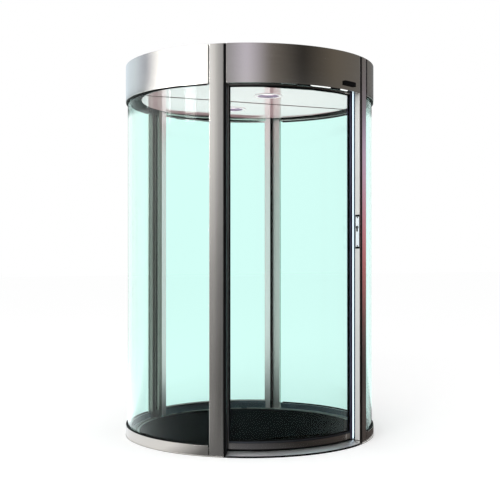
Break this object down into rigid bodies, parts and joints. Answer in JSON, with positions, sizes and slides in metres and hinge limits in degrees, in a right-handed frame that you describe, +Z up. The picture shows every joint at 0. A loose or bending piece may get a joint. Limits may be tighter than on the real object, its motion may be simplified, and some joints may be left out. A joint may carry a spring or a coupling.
{
  "type": "security airlock portal",
  "caption": "Round glazed security portal with curved sliding doors at front and rear, brushed steel posts, a drum canopy and a matted floor",
  "frame": {"origin": "centre of the drum on the ground", "axes": "+Z up along the drum's centre line, -Y out of the front doorway, +X to the right as seen from in front"},
  "size_m": [1.5998, 1.6, 2.35],
  "materials": {
    "brushed_steel": "stainless sheet brushed along the drum",
    "floor_steel": "satin stainless",
    "floor_mat": "dark ribbed entrance mat",
    "clear_glass": "bent safety glass with a pale green cast",
    "black_rubber": "matt black glazing rubber",
    "galvanised_steel": "dull grey coated steel",
    "white_ceiling": "gloss white",
    "white_trim": "white enamel",
    "black_plastic": "matt black",
    "jamb_metal": "anodised, satin",
    "satin_plate": "satin stainless",
    "door_metal": "brushed stainless"
  },
  "bodies": {
    "portal": {"ceiling_skirt": "galvanised_steel", "fixed_glass_gaskets": "black_rubber", "floor_mat": "floor_mat", "floor_pan": "floor_steel", "front_ceiling_panel": "white_ceiling", "front_downlight": "white_trim", "front_fascia": "brushed_steel", "front_left_post": "brushed_steel", "front_lock_plate": "satin_plate", "front_right_post": "brushed_steel", "front_sensors": "black_plastic", "front_strike_jamb": "jamb_metal", "front_threshold": "brushed_steel", "jamb_seals": "black_rubber", "left_base_rail": "brushed_steel", "left_fascia": "brushed_steel", "left_glass": "clear_glass", "rear_ceiling_panel": "white_ceiling", "rear_downlight": "white_trim", "rear_fascia": "brushed_steel", "rear_left_post": "brushed_steel", "rear_lock_plate": "satin_plate", "rear_right_post": "brushed_steel", "rear_sensors": "black_plastic", "rear_strike_jamb": "jamb_metal", "rear_threshold": "brushed_steel", "right_base_rail": "brushed_steel", "right_fascia": "brushed_steel", "right_glass": "clear_glass", "roof_plate": "galvanised_steel", "track_ring": "galvanised_steel"},
    "front_door": {"front_door_bottom_rail": "door_metal", "front_door_gaskets": "black_rubber", "front_door_glass": "clear_glass", "front_door_hangers": "galvanised_steel", "front_door_lead_stile": "door_metal", "front_door_top_rail": "door_metal", "front_door_trail_stile": "door_metal"},
    "rear_door": {"rear_door_bottom_rail": "door_metal", "rear_door_gaskets": "black_rubber", "rear_door_glass": "clear_glass", "rear_door_hangers": "galvanised_steel", "rear_door_lead_stile": "door_metal", "rear_door_top_rail": "door_metal", "rear_door_trail_stile": "door_metal"}
  },
  "joints": [
    {"name": "front_door_slide", "type": "hinge", "parent": "portal", "child": "front_door", "pos_m": [0, 0, 0], "axis": [0, 0, -1], "range_deg": [0, 68]},
    {"name": "rear_door_slide", "type": "hinge", "parent": "portal", "child": "rear_door", "pos_m": [0, 0, 0], "axis": [0, 0, -1], "range_deg": [0, 68]}
  ]
}
